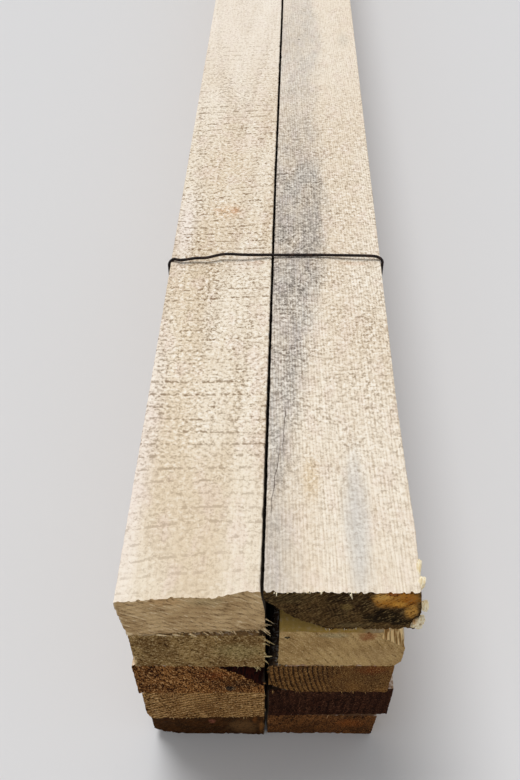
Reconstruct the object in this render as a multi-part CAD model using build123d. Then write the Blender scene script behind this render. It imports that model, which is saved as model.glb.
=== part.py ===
from build123d import *
from dataclasses import dataclass, field
import os

# A pack of rough-sawn softwood battens, two wide and five high, tied with wire near each end.
# Sizes are in millimetres. X runs across the pack from its middle, Y along it from the near end,
# and Z up from the floor. The last step moves the origin to the middle of the pack's base.

# The stock
stock_length = 1200.0
stock_width = 50.0
stock_thickness = 25.0
arris_radius = 0.5

# The ties
wire_diameter = 1.4
bend_radius = 4.0
under_bend_radius = 1.8
tie_inset = 181.0
tie_skew = 2.0
rise_height = 2.2
rise_place = 25.0
crest_height = 3.0
crest_place = 7.0
crest_bend = 9.0
rise_bend = 60.0

# The twisted ends of a tie
twist_length = 20.0
twist_turns = 3.5
twist_height = 68.0
twist_droop = 18.0

# Clearances of a tie: beside the planks, round it in its groove, and over the floor
wire_gap = 0.2
groove_gap = 0.1
floor_gap = 0.1

# How far a corner may stand out of line before a tight wire bends round it
wire_play = 0.15

# Spare length that the end cuts take off
cutting_allowance = 20.0
tool_margin = 4.0
taper_end = 0.06


# Wood missing along one arris from the near end: a wane, or a splinter torn out
@dataclass
class Missing:
    side: str
    edge: str
    across: float
    down: float
    run: float
    step: float = 0.0
    bulge: float = 1.2


# One plank. Its outer side stands in from the face of the pack and its inner side back from the
# middle. Each end is set back at its outer and its inner side, and the near one leans.
@dataclass
class Plank:
    outer: float
    inner: float
    near: tuple
    far: tuple
    lean: float = 0.0
    missing: list = field(default_factory=list)


left_planks = [
    Plank(-0.5, 0.5, near=(0.0, 3.6), far=(1.5, 0.0),
          missing=[Missing("outer", "bottom", across=1.7, down=21.0, run=160.0, bulge=0.1)]),
    Plank(1.2, 0.3, near=(0.2, 1.4), far=(3.0, 4.6)),
    Plank(0.2, 0.4, near=(0.3, 2.2), far=(0.0, 1.8),
          missing=[Missing("inner", "top", across=18.0, down=12.0, run=34.0, bulge=1.6)]),
    Plank(0.8, 0.3, near=(0.6, 2.8), far=(5.2, 3.4), lean=-0.4,
          missing=[Missing("outer", "bottom", across=1.8, down=8.0, run=160.0, bulge=0.4)]),
    Plank(1.3, 0.7, near=(3.2, 3.9), far=(2.4, 2.9), lean=0.4,
          missing=[Missing("outer", "bottom", across=11.0, down=5.5, run=150.0, bulge=0.9)]),
]

right_planks = [
    Plank(-0.2, 0.4, near=(5.7, 4.4), far=(0.6, 2.1), lean=-0.3,
          missing=[Missing("inner", "bottom", across=21.5, down=21.0, run=420.0, bulge=1.4)]),
    Plank(-0.1, 4.2, near=(4.0, 3.1), far=(3.8, 4.9), lean=-0.8,
          missing=[Missing("outer", "top", across=10.5, down=12.5, run=48.0, step=5.5, bulge=0.3),
                   Missing("outer", "bottom", across=3.0, down=6.0, run=150.0, bulge=0.8)]),
    Plank(2.0, 0.6, near=(3.4, 1.9), far=(1.2, 0.4), lean=0.5,
          missing=[Missing("inner", "bottom", across=13.5, down=8.5, run=260.0)]),
    Plank(-0.9, 1.4, near=(5.4, 3.2), far=(4.4, 2.6), lean=-0.3),
    Plank(3.3, 0.8, near=(4.2, 3.3), far=(2.0, 3.2), lean=1.8),
]

columns = {"left": (-1, left_planks), "right": (1, right_planks)}
row_count = len(left_planks)
pack_height = row_count * stock_thickness
wire_radius = wire_diameter / 2
wire_standoff = wire_radius + wire_gap
groove_radius = wire_radius + groove_gap


def row_base(row):
    return pack_height - (row + 1) * stock_thickness


def outer_reach(plank):
    return stock_width - plank.outer


# A wedge with a bulged face that tapers off along the arris it is cut from.
def missing_wood(plank, sign, base, gap):
    inward = -sign if gap.side == "outer" else sign
    upward = 1 if gap.edge == "bottom" else -1
    arris_x = sign * (outer_reach(plank) if gap.side == "outer" else plank.inner)
    arris_z = base if gap.edge == "bottom" else base + stock_thickness

    def section(y, scale):
        def at(across, down):
            return Vector(arris_x + inward * across, y, arris_z + upward * down)

        across, down, step = (size * scale for size in (gap.across, gap.down, gap.step))
        slope = Vector(down - step, across).normalized()
        bulge = slope * (gap.bulge * scale)
        middle = at(across / 2 - bulge.X, (down + step) / 2 - bulge.Y)
        outline = [
            Line(at(-tool_margin, -tool_margin), at(across, -tool_margin)),
            Line(at(across, -tool_margin), at(across, step)),
            ThreePointArc(at(across, step), middle, at(0, down)),
            Line(at(0, down), at(-tool_margin, down)),
            Line(at(-tool_margin, down), at(-tool_margin, -tool_margin)),
        ]
        return Face(Wire(outline))

    return loft([section(-tool_margin, 1.0), section(gap.run, taper_end)], ruled=True)


# The sawn end is a plane through three points: the top arrises at both sides, and the underside.
def end_plane(plank, sign, base, set_back, lean, facing):
    top = base + stock_thickness
    start = Vector(sign * outer_reach(plank), set_back[0], top)
    across = Vector(sign * plank.inner, set_back[1], top) - start
    downwards = Vector(0, lean, -stock_thickness)
    normal = across.cross(downwards).normalized()
    if normal.Y * facing < 0:
        normal = -normal
    return Plane(origin=start, x_dir=across.normalized(), z_dir=normal)


def make_plank(plank, sign, row):
    base = row_base(row)
    width = outer_reach(plank) - plank.inner
    middle_x = sign * (outer_reach(plank) + plank.inner) / 2
    start = Plane(
        origin=(middle_x, -cutting_allowance, base + stock_thickness / 2),
        x_dir=(1, 0, 0),
        z_dir=(0, 1, 0),
    )
    profile = start * RectangleRounded(width, stock_thickness, arris_radius)
    body = extrude(profile, amount=stock_length + 2 * cutting_allowance)
    near = end_plane(plank, sign, base, plank.near, plank.lean, facing=1)
    far_set_back = [stock_length - short for short in plank.far]
    far = end_plane(plank, sign, base, far_set_back, 0.0, facing=-1)
    body = split(body, bisect_by=near, keep=Keep.TOP)
    body = split(body, bisect_by=far, keep=Keep.TOP)
    for gap in plank.missing:
        body -= missing_wood(plank, sign, base, gap)
    return body


# The corners that a tight wire touches down one side, as (reach, height), from the top down.
def touched_corners(planks):
    touched = []
    for row, plank in enumerate(planks):
        for height in (row_base(row) + stock_thickness, row_base(row)):
            corner = Vector(outer_reach(plank), height)
            while len(touched) > 1 and stands_out(touched[-2], touched[-1], corner) < wire_play:
                touched.pop()
            touched.append(corner)
    return touched


def stands_out(above, corner, below):
    line = below - above
    return line.cross(corner - above).Z / line.length


# The route of the wire round the pack's section, in the XZ plane.
def tie_route():
    left = touched_corners(left_planks)
    right = touched_corners(right_planks)
    over = pack_height + wire_standoff
    under = wire_radius + floor_gap
    rise_x = -left[0].X + rise_place
    crest_x = right[0].X - crest_place
    corners = [(-left[0].X - wire_standoff, over)]
    radii = [bend_radius]
    corners += [(rise_x, over + rise_height), (crest_x, over + crest_height)]
    radii += [rise_bend, crest_bend]
    corners += [(right[0].X + wire_standoff, over)]
    radii += [bend_radius]
    for corner in right[1:-1]:
        corners.append((corner.X + wire_standoff, corner.Y))
        radii.append(bend_radius)
    corners += [(right[-1].X + wire_standoff, under), (-left[-1].X - wire_standoff, under)]
    radii += [under_bend_radius, under_bend_radius]
    for corner in reversed(left[1:-1]):
        corners.append((-corner.X - wire_standoff, corner.Y))
        radii.append(bend_radius)
    return FilletPolyline(*corners, radius=radii, close=True)


# The two ends of the wire, wound round each other and laid along the left side.
def twisted_ends():
    strand_offset = wire_radius * 0.94
    strands = Pos(strand_offset, 0) * Circle(wire_radius) + Pos(-strand_offset, 0) * Circle(wire_radius)
    stem = Solid.extrude_linear_with_rotation(
        strands.face(), (0, 0, 0), (0, 0, twist_length), 360 * twist_turns
    )
    reach = max(outer_reach(plank) for plank in left_planks)
    beside = reach + wire_gap + strand_offset + wire_radius
    along = Plane(origin=(-beside, 0, twist_height), x_dir=(1, 0, 0), z_dir=(0, 1, 0))
    return along * (Rot(twist_droop, 0, 0) * stem)


def make_tie():
    route = Plane.XZ * tie_route()
    start = Plane(origin=route @ 0.0, z_dir=route % 0.0)
    loop = sweep(start * Circle(wire_radius), path=route)
    return loop + twisted_ends()


# What the tight wire has crushed: a channel of its width outside its inner line.
def crush_channel():
    inner = offset(make_face(tie_route()), amount=-groove_radius)
    around = Rectangle(4 * stock_width, 4 * pack_height)
    return extrude(Plane.XZ * (around - inner), amount=groove_radius, both=True)


def place_tie(shape, y, skew):
    return Pos(0, y, 0) * (Rot(0, 0, skew) * shape)


tie_places = {
    "tie_wire_near": (tie_inset, tie_skew),
    "tie_wire_far": (stock_length - tie_inset, -tie_skew),
}
tie = make_tie()
channel = crush_channel()
nodes = {name: place_tie(tie, *place) for name, place in tie_places.items()}
channels = [place_tie(channel, *place) for place in tie_places.values()]

for side, (sign, planks) in columns.items():
    for row, plank in enumerate(planks):
        body = make_plank(plank, sign, row)
        for groove in channels:
            body -= groove
        nodes[f"plank_{side}_{row + 1}"] = body

box = Compound(list(nodes.values())).bounding_box()
to_base = Pos(-box.center().X, -box.center().Y, -box.min.Z)

os.makedirs("parts", exist_ok=True)
for name, shape in nodes.items():
    export_step(to_base * shape, f"parts/{name}.step")
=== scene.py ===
import math
import random

import bmesh
import bpy
import numpy as np
from mathutils import Matrix, Vector, noise
from mathutils.bvhtree import BVHTree


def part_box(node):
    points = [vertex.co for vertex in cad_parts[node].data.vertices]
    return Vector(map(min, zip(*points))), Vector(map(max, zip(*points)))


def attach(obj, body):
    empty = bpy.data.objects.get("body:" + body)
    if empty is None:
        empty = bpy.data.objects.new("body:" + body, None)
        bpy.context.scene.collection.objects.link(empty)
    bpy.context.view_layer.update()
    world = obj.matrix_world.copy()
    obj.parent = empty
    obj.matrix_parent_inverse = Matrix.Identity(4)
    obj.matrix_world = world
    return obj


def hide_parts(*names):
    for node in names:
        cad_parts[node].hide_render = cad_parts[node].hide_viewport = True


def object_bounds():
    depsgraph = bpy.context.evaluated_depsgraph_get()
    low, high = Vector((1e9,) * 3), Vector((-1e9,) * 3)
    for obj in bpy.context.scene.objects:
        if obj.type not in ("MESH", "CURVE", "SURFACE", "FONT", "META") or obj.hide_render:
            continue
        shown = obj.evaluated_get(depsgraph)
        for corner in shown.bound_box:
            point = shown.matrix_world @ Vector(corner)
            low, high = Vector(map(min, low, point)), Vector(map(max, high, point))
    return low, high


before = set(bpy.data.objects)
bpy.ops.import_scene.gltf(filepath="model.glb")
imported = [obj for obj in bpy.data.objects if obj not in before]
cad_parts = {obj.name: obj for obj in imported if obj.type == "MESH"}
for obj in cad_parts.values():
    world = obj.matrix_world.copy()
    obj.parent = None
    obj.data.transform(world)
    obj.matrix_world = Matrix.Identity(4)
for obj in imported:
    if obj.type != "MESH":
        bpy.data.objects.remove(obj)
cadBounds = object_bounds()
mm = 0.001

packLow, packHigh = cadBounds
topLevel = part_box("plank_left_1")[1].z
nearEnd = packLow.y
packLength = packHigh.y - packLow.y
seamX = (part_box("plank_left_1")[1].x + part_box("plank_right_1")[0].x) / 2
tieInset = 181 * mm  # each tie lies this far from its end of the pack
stockWidth = 50  # in millimetres
print("frame loaded, pack is", round(packLength, 3), "m long")


# Colours are written as they look on a screen, from 0 to 255
def colour(red, green, blue):
    def linear(part):
        part /= 255
        return part / 12.92 if part <= 0.04045 else ((part + 0.055) / 1.055) ** 2.4
    return (linear(red), linear(green), linear(blue), 1.0)


def addToScene(name, data):
    thing = bpy.data.objects.new(name, data)
    bpy.context.scene.collection.objects.link(thing)
    return thing


def meshObject(name, bm):
    mesh = bpy.data.meshes.new(name)
    bm.to_mesh(mesh)
    bm.free()
    return addToScene(name, mesh)


# A material whose patterns are laid out in millimetres: across from the seam between the two
# stacks, along from the near end, and up from the top face
class Nodes:
    def __init__(self, name, seed=0):
        self.material = bpy.data.materials.new(name)
        self.material.use_nodes = True
        self.tree = self.material.node_tree
        self.shader = self.tree.nodes["Principled BSDF"]
        self.seed = seed
        self.used = 0
        spot = self.add("ShaderNodeTexCoord").outputs["Object"]
        self.place = self.add("ShaderNodeMapping", {
            "Vector": spot, "Scale": (1 / mm, 1 / mm, 1 / mm),
            "Location": (-seamX / mm, -nearEnd / mm, -topLevel / mm)}).outputs[0]
        self.x, self.y, self.z = self.add("ShaderNodeSeparateXYZ", {0: self.place}).outputs

    def add(self, kind, inputs=None, **settings):
        node = self.tree.nodes.new(kind)
        for key, value in settings.items():
            setattr(node, key, value)
        for key, value in (inputs or {}).items():
            self.feed(node.inputs[key], value)
        return node

    def feed(self, socket, value):
        if isinstance(value, bpy.types.NodeSocket):
            self.tree.links.new(value, socket)
        else:
            socket.default_value = value

    def math(self, operation, a, b=0.0, c=0.0, clamp=False):
        node = self.add("ShaderNodeMath", {0: a, 1: b, 2: c}, operation=operation, use_clamp=clamp)
        return node.outputs[0]

    def times(self, a, b):
        return self.math("MULTIPLY", a, b)

    def sum(self, *terms):
        total = terms[0]
        for term in terms[1:]:
            total = self.math("ADD", total, term)
        return total

    # Coordinates in units of a pattern's size, turned about the length of the pack
    def laid(self, size, turn=0.0, at=(0, 0, 0)):
        return self.add("ShaderNodeMapping", {
            "Vector": self.place, "Location": at, "Rotation": (0, math.radians(turn), 0), "Scale": size},
            vector_type="TEXTURE").outputs[0]

    def grain(self, size, turn=0.0, detail=2.0, roughness=0.5, distortion=0.0):
        self.used += 1
        at = (37.1 * self.seed + 11.3 * self.used, 53.9 * self.seed, 71.7 * self.seed - 5.9 * self.used)
        node = self.add("ShaderNodeTexNoise", {
            "Vector": self.laid(size, turn, at), "Scale": 1.0, "Detail": detail,
            "Roughness": roughness, "Distortion": distortion})
        return node.outputs["Fac"]

    def between(self, value, low, high, newLow=0.0, newHigh=1.0):
        node = self.add("ShaderNodeMapRange", {
            "Value": value, "From Min": low, "From Max": high, "To Min": newLow, "To Max": newHigh},
            interpolation_type="SMOOTHSTEP")
        return node.outputs[0]

    # Each tone is a socket or a screen colour
    def mix(self, amount, *tones, kind="MIX"):
        a, b = (tone if isinstance(tone, bpy.types.NodeSocket) else colour(*tone) for tone in tones)
        node = self.add("ShaderNodeMix", {0: amount, 6: a, 7: b}, data_type="RGBA", blend_type=kind)
        return node.outputs[2]

    # A soft-edged spot round a point, with a wavering outline
    def spot(self, at, size, soft=0.5, waver=0.5):
        placed = self.laid(size, 0, at)
        reach = self.add("ShaderNodeVectorMath", {0: placed}, operation="LENGTH").outputs["Value"]
        edge = self.grain([0.45 * part for part in size], detail=3)
        reach = self.sum(reach, self.math("MULTIPLY_ADD", edge, waver, -waver / 2))
        return self.between(reach, 1.0, 1.0 - soft)

    def spotted(self, tone, spots, waver=0.5):
        for at, size, soft, amount, own in spots:
            tone = self.mix(self.times(self.spot(at, size, soft, waver), amount), tone, own)
        return tone

    # The darker late wood of the rings. Their pith may lie outside the plank, and leans away from the
    # plank's own direction.
    def lateWood(self, look):
        (pithX, pithZ), (leanX, leanZ) = look["pith"], look["lean"]
        across = self.math("MULTIPLY_ADD", self.y, -leanX, self.sum(self.x, -pithX))
        up = self.math("MULTIPLY_ADD", self.y, -leanZ, self.sum(self.z, -pithZ))
        reach = self.math("SQRT", self.sum(self.times(across, across), self.times(up, up)))
        slow = self.times(self.grain((26, 300, 26), detail=1), 5 * look["ringWaver"])
        quick = self.times(self.grain((5, 45, 5)), look["ringWaver"])
        year = self.math("FRACT", self.math("DIVIDE", self.sum(reach, slow, quick), look["ringPitch"]))
        return self.times(self.between(year, 0.3, 0.85), self.between(year, 1.0, 0.88))

    def curve(self, value, points):
        node = self.add("ShaderNodeFloatCurve", {"Value": value})
        line = node.mapping.curves[0]
        for x, y in points[1:-1]:
            line.points.new(x, y)
        for point, (x, y) in zip(line.points, points):
            point.location = (x, y)
        node.mapping.update()
        return node.outputs[0]

    def finish(self, tone, height, depth, roughness=0.9, shine=0.12):
        self.feed(self.shader.inputs["Base Color"], tone)
        self.shader.inputs["Roughness"].default_value = roughness
        self.shader.inputs["Specular IOR Level"].default_value = shine
        bump = self.add("ShaderNodeBump", {"Height": height, "Strength": 1.0, "Distance": depth})
        self.tree.links.new(bump.outputs[0], self.shader.inputs["Normal"])
        return self.material


# How a sawn long face looks: pale wool over soft tones, with rows of dark flecks where the saw bit.
# The flecks are painted shade, in the hollows of the wool and of the saw lines.
faceLook = {
    "pale": (244, 231, 210),
    "warm": (233, 215, 188),
    "patch": (24, 80, 24),
    "blush": (240, 218, 206),
    "blushSize": (7, 16, 7),
    "blushAmount": 0.35,
    # the painted shade in the hollows of the wool
    "fleckShade": (134, 108, 80),
    "fleckAmount": 0.95,
    "fleckLevel": 0.495,
    "fleckRamp": 0.17,
    "wool": (1.7, 1.5, 1.7),
    "torn": [(0, 0.8), (0.3, 1.0), (0.7, 0.9), (1, 1.0)],  # how rough the face is, along the pack
    "tornPatch": (11, 17, 11),
    "tip": (255, 249, 238),
    "tipLevel": (0.505, 0.38),
    "tipAmount": 0.95,
    # painted light: how far the face pales, along the pack
    "paintedLight": [(0, 0), (1, 0)],  # how far the face pales, along the pack
    "paintedLightTone": (250, 241, 229),
    "streak": (196, 172, 140),
    "streakSize": (0.7, 11, 0.7),
    "streakAmount": 0.2,
    "sawPitch": 6.4,
    "sawTilt": 0.11,
    "sawDrift": 14,
    "sawBreaks": (2.4, 3, 2.4),
    "sawZone": (300, 38, 300),
    "sawAmount": 0.2,
    "ring": (205, 178, 146),
    "ringAmount": 0.12,
    "pith": (-70, -90),
    "lean": (0.01, 0.02),
    "ringPitch": 3.2,
    "ringWaver": 1.0,
    "missing": (150, 112, 72),
    "missingDeep": (104, 74, 46),
    "furrow": (0.9, 16, 0.9),
    "crackTone": (70, 52, 40),
    "relief": 0.3 * mm,
    "spots": [],
    "cracks": [],
}

# And a sawn end: rough end grain, scored by the saw, with pale fibre tips and dark gaps. The gaps'
# darkness is painted shade, in the hollows between the fibres.
endLook = {
    "light": (212, 181, 135),
    "deep": (190, 158, 114),
    "patch": (7, 40, 9),
    "gap": (96, 72, 44),
    "gapAmount": 0.8,
    "gapLevel": 0.53,
    "gapRamp": 0.1,
    "tip": (240, 220, 182),
    "tipAmount": 0.6,
    "ring": (150, 118, 78),
    "ringAmount": 0.25,
    "scoreTurn": -33,
    "scoreSize": (0.55, 4, 2.6),
    "scoreAmount": 0.6,
    "speck": (0.5, 2, 1.0),
    "relief": 0.9 * mm,
    "spots": [],
}

# Painted shade in the gap between the two stacks, which starts a little below their top arrises. It
# goes all the way along between the top planks, and further down only at the near end.
paintedGapShade = {
    "acrossGap": (3.4, 1.9),
    "belowTop": (-0.45, -1.2),
    "topPlanks": (-26, -14),
    "nearEnd": (60, 40),
    "amount": 0.88,
    "tone": (40, 29, 19),
}


# Thin broken lines across the face, one for each bite of the saw
def sawLines(wood, look):
    drifting = wood.grain((90, 60, 90), detail=1)
    drifted = wood.math("MULTIPLY_ADD", drifting, look["sawDrift"], wood.y)
    along = wood.math("MULTIPLY_ADD", wood.x, -look["sawTilt"], drifted)
    part = wood.math("FRACT", wood.math("DIVIDE", along, look["sawPitch"]))
    line = wood.times(wood.between(part, 0.0, 0.07), wood.between(part, 0.28, 0.12))
    broken = wood.between(wood.grain(look["sawBreaks"]), 0.44, 0.6)
    zone = wood.between(wood.grain(look["sawZone"], detail=1), 0.4, 0.6, 0.35, 1.0)
    return wood.times(line, wood.times(broken, zone))


def blueStain(wood, tone, stain):
    share = wood.math("DIVIDE", wood.y, packLength / mm)
    edge = wood.times(wood.curve(share, stain["edge"]), stockWidth)
    frayed, reach = wood.grain(stain["fringe"], detail=3), stain["fringeReach"]
    ragged = wood.math("MULTIPLY_ADD", frayed, reach, wood.sum(wood.x, -reach / 2))
    inside = wood.between(wood.math("SUBTRACT", ragged, edge), 4.5, -6.5)
    strength = wood.curve(share, stain["strength"])
    cloudy = wood.between(wood.grain(stain["cloud"], detail=3), 0.3, 0.6, 0.55, 1.0)
    amount = wood.times(wood.times(inside, strength), cloudy)
    return wood.mix(amount, tone, stain["tone"], kind="MULTIPLY"), amount


def crack(wood, start, end, width):
    # a thin dark line on the top face, from one point to another
    lean = (end[0] - start[0]) / (end[1] - start[1])
    wobble = wood.math("MULTIPLY_ADD", wood.grain((6, 7, 6)), 2.4, -1.2)
    line = wood.math("MULTIPLY_ADD", wood.y, -lean, wood.sum(wood.x, lean * start[1] - start[0], wobble))
    near = wood.between(wood.math("ABSOLUTE", line), width, width * 0.3)
    low, high = sorted((start[1], end[1]))
    ends = wood.times(wood.between(wood.y, low - 3, low + 3), wood.between(wood.y, high + 3, high - 3))
    return wood.times(near, ends)


# How much painted shade lies in the gap between the two stacks
def seamGrime(wood):
    inGap = wood.between(wood.math("ABSOLUTE", wood.x), *paintedGapShade["acrossGap"])
    below = wood.between(wood.z, *paintedGapShade["belowTop"])
    atTop = wood.between(wood.z, *paintedGapShade["topPlanks"])
    reached = wood.math("MAXIMUM", atTop, wood.between(wood.y, *paintedGapShade["nearEnd"]))
    return wood.times(wood.times(inGap, below), wood.times(reached, paintedGapShade["amount"]))


def sawnFace(plank):
    look = plank["face"]
    wood = Nodes(plank["name"] + "_face", plank["seed"])
    tone = wood.mix(wood.between(wood.grain(look["patch"]), 0.38, 0.62), look["pale"], look["warm"])
    blush = wood.between(wood.grain(look["blushSize"], detail=4), 0.48, 0.66, 0.0, look["blushAmount"])
    tone = wood.mix(blush, tone, look["blush"])
    late = wood.lateWood(look)
    tone = wood.mix(wood.times(late, look["ringAmount"]), tone, look["ring"])
    share = wood.math("DIVIDE", wood.y, packLength / mm)
    # painted light: the face pales along the pack
    tone = wood.mix(wood.curve(share, look["paintedLight"]), tone, look["paintedLightTone"])
    streaks = wood.between(wood.grain(look["streakSize"], detail=3, roughness=0.6), 0.46, 0.64)
    tone = wood.mix(wood.times(streaks, look["streakAmount"]), tone, look["streak"])
    lines = sawLines(wood, look)
    wool = wood.grain(look["wool"], detail=4, roughness=0.78, distortion=0.4)
    level = wood.sum(wool, wood.times(lines, look["sawAmount"]), wood.times(late, 0.03))
    fleckShade = look["fleckShade"]
    if "stain" in look:
        tone, stained = blueStain(wood, tone, look["stain"])
        level = wood.math("MULTIPLY_ADD", stained, look["stain"]["roughening"], level)
        fleckShade = wood.mix(stained, fleckShade, look["stain"]["fleckShade"])
    tone = wood.spotted(tone, look["spots"])
    patchy = wood.between(wood.grain(look["tornPatch"], detail=2), 0.35, 0.65, 0.72, 1.0)
    rough = wood.times(patchy, wood.curve(share, look["torn"]))
    sparse = look["fleckLevel"]
    # dark flecks: painted shade in the hollows of the wool and the saw lines
    flecks = wood.between(level, sparse, sparse + look["fleckRamp"], 0.0, look["fleckAmount"])
    tips = wood.between(level, *look["tipLevel"], 0.0, look["tipAmount"])
    tone = wood.mix(wood.times(flecks, rough), tone, fleckShade)
    tone = wood.mix(wood.times(tips, rough), tone, look["tip"])
    for start, end, width in look["cracks"]:
        tone = wood.mix(wood.times(crack(wood, start, end, width), 0.7), tone, look["crackTone"])
    # painted shade in the gap between the stacks
    tone = wood.mix(seamGrime(wood), tone, paintedGapShade["tone"])
    bare = wood.add("ShaderNodeAttribute", attribute_name="missing").outputs["Fac"]
    furrows = wood.between(wood.grain(look["furrow"], detail=3), 0.4, 0.58)
    torn = wood.mix(furrows, look["missing"], look["missingDeep"])
    tone = wood.mix(wood.between(bare, 0.05, 0.35), tone, torn)
    height = wood.math("SUBTRACT", 1.0, wood.sum(level, wood.times(late, -0.1)))
    return wood.finish(tone, height, look["relief"])


def sawnEnd(plank):
    look = plank["end"]
    wood = Nodes(plank["name"] + "_end", plank["seed"])
    tone = wood.mix(wood.between(wood.grain(look["patch"]), 0.36, 0.64), look["light"], look["deep"])
    late = wood.lateWood(plank["face"])
    if "ringZone" in look:
        late = wood.times(late, wood.between(wood.x, look["ringZone"][1], look["ringZone"][0]))
    tone = wood.mix(wood.times(late, look["ringAmount"]), tone, look["ring"])
    tone = wood.spotted(tone, look["spots"], 0.8)
    score = wood.grain(look["scoreSize"], look["scoreTurn"], detail=2)
    speck = wood.grain(look["speck"], look["scoreTurn"] * 0.4, detail=3, roughness=0.65)
    amount, level = look["scoreAmount"], look["gapLevel"]
    rough = wood.sum(wood.times(score, amount), wood.times(speck, 1 - amount), wood.times(late, 0.04))
    hollowShade = wood.between(rough, level, level + look["gapRamp"], 0.0, look["gapAmount"])
    tips = wood.between(rough, level - 0.05, level - 0.14, 0.0, look["tipAmount"])
    # painted shade in the hollows between the fibres
    tone = wood.mix(hollowShade, tone, look["gap"], kind="MULTIPLY")
    tone = wood.mix(tips, tone, look["tip"])
    return wood.finish(tone, wood.math("SUBTRACT", 1.0, rough), look["relief"], 0.95, 0.04)


def tornFibre(plank):
    wood = Nodes(plank["name"] + "_fibre", plank["seed"])
    streak = wood.grain((0.5, 2.5, 0.9), detail=2)
    shade = plank.get("fibreShade", plank["end"]["light"])
    tone = wood.mix(wood.between(streak, 0.4, 0.66), plank["fibre"], shade)
    return wood.finish(wood.spotted(tone, plank["fibreSpots"]), streak, 0.1 * mm)


plankShape = {
    "nearLength": {"top": 212, "lower": 60},  # how far the finer rows reach, in millimetres
    "farLength": 60,
    "rowSpacing": {"top": (1.1, 2.8), "lower": (1.6, 4.2)},
    "tieSpacing": 0.5,
    "tieReach": 6,
    "cuts": {"top": (40, 14), "lower": (20, 12)},
    "crowding": (0.3, 0.25),  # how much closer the columns stand at the arrises, across and up
    "endCuts": 2,
    "arris": 0.65,
    "arrisWear": 0.55,
    "nick": 2.6,
    "nickFrom": 0.32,
    "core": 3,  # no wood is missing this near to the middle
    "wholeInset": 0.4,
    "bareFrom": 0.5,
    "tornDepth": 0.6,
    "stepReach": 14,
    "endReach": 5,
    "endDepths": (0.3, 0.2, 0.35, 1.1, -0.45),  # of scores, grit, swells and chips, and of the whole
    "sawDepth": 0.10,
    "woolDepth": 0.09,
    "swayDepth": 0.12,
    "seamSway": 0.42,
}

bakeMap = {
    "segment": 150.0,  # the length of plank, in millimetres, in each cell of the map
    "cells": 3,
    "cell": 158.0,
    "gap": 1.6,
    "margin": 4.0,
    "endScale": 2.0,
}


def divide(bm, axis, cuts):
    along = [e for e in bm.edges if abs(e.verts[0].co[axis] - e.verts[1].co[axis]) > 1e-7]
    bmesh.ops.subdivide_edges(bm, edges=along, cuts=cuts, use_grid_fill=True)


# Distances from the near end, with rows close together near both ends and at the ties
def rowPlaces(length, kind):
    fine, coarse = plankShape["rowSpacing"][kind]
    samples = np.linspace(0, length, 8001)
    spacing = np.full(len(samples), float(coarse))
    spacing[samples < plankShape["nearLength"][kind]] = fine
    spacing[samples > length - plankShape["farLength"]] = fine
    for tie in (tieInset / mm, length - tieInset / mm):
        spacing[abs(samples - tie) < plankShape["tieReach"]] = plankShape["tieSpacing"]
    rows = np.concatenate([[0], np.cumsum(np.diff(samples) / spacing[:-1])])
    return np.interp(np.linspace(0, rows[-1], round(rows[-1]) + 1), rows, samples)


def readCad(node):
    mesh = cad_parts[node].data
    spots = [v.co / mm for v in mesh.vertices]
    return BVHTree.FromPolygons(spots, [tuple(p.vertices) for p in mesh.polygons])


# The sawn end as a plane, from three rays that run along the plank clear of its missing wood
def endFinder(cad, low, high, side, way):
    middle, size = (low + high) / 2, high - low
    spots = [(middle.x, low.z + 0.8 * size.z), (middle.x - side * 0.25 * size.x, low.z + 0.42 * size.z),
             (middle.x + side * 0.2 * size.x, low.z + 0.35 * size.z)]
    hits = [cad.ray_cast(Vector((x, middle.y, z)), Vector((0, way, 0)))[0] for x, z in spots]
    normal = (hits[1] - hits[0]).cross(hits[2] - hits[0])
    return lambda x, z: hits[0].y - (normal.x * (x - hits[0].x) + normal.z * (z - hits[0].z)) / normal.y


# A bar of the plank's size about the middle of its near end, with its rows and columns in place
def squareBar(half, rows, kind):
    across, up = plankShape["cuts"][kind]
    bm = bmesh.new()
    bmesh.ops.create_cube(bm, size=1)
    divide(bm, 0, across - 1)
    divide(bm, 2, up - 1)
    divide(bm, 1, len(rows) - 2)
    bm.normal_update()
    rims = {e for f in bm.faces if abs(f.normal.y) > 0.5 for e in f.edges}
    bmesh.ops.subdivide_edges(bm, edges=list(rims), cuts=plankShape["endCuts"],
                              use_grid_fill=True, use_single_edge=True)
    count = np.arange(len(rows))
    crowdX, crowdZ = plankShape["crowding"]
    for v in bm.verts:
        s, t = 2 * v.co.x, 2 * v.co.z
        row = float(np.interp((v.co.y + 0.5) * (len(rows) - 1), count, rows))
        x = half.x * s * (1 + crowdX - crowdX * s * s)
        z = half.z * t * (1 + crowdZ - crowdZ * t * t)
        v.co = Vector((x, row, z))
    bm.normal_update()
    for e in bm.edges:
        e.smooth = len({abs(f.normal.y) > 0.5 for f in e.link_faces}) == 1
    for f in bm.faces:
        f.smooth = True
        f.material_index = 1 if abs(f.normal.y) > 0.5 else 0
    return bm


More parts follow.
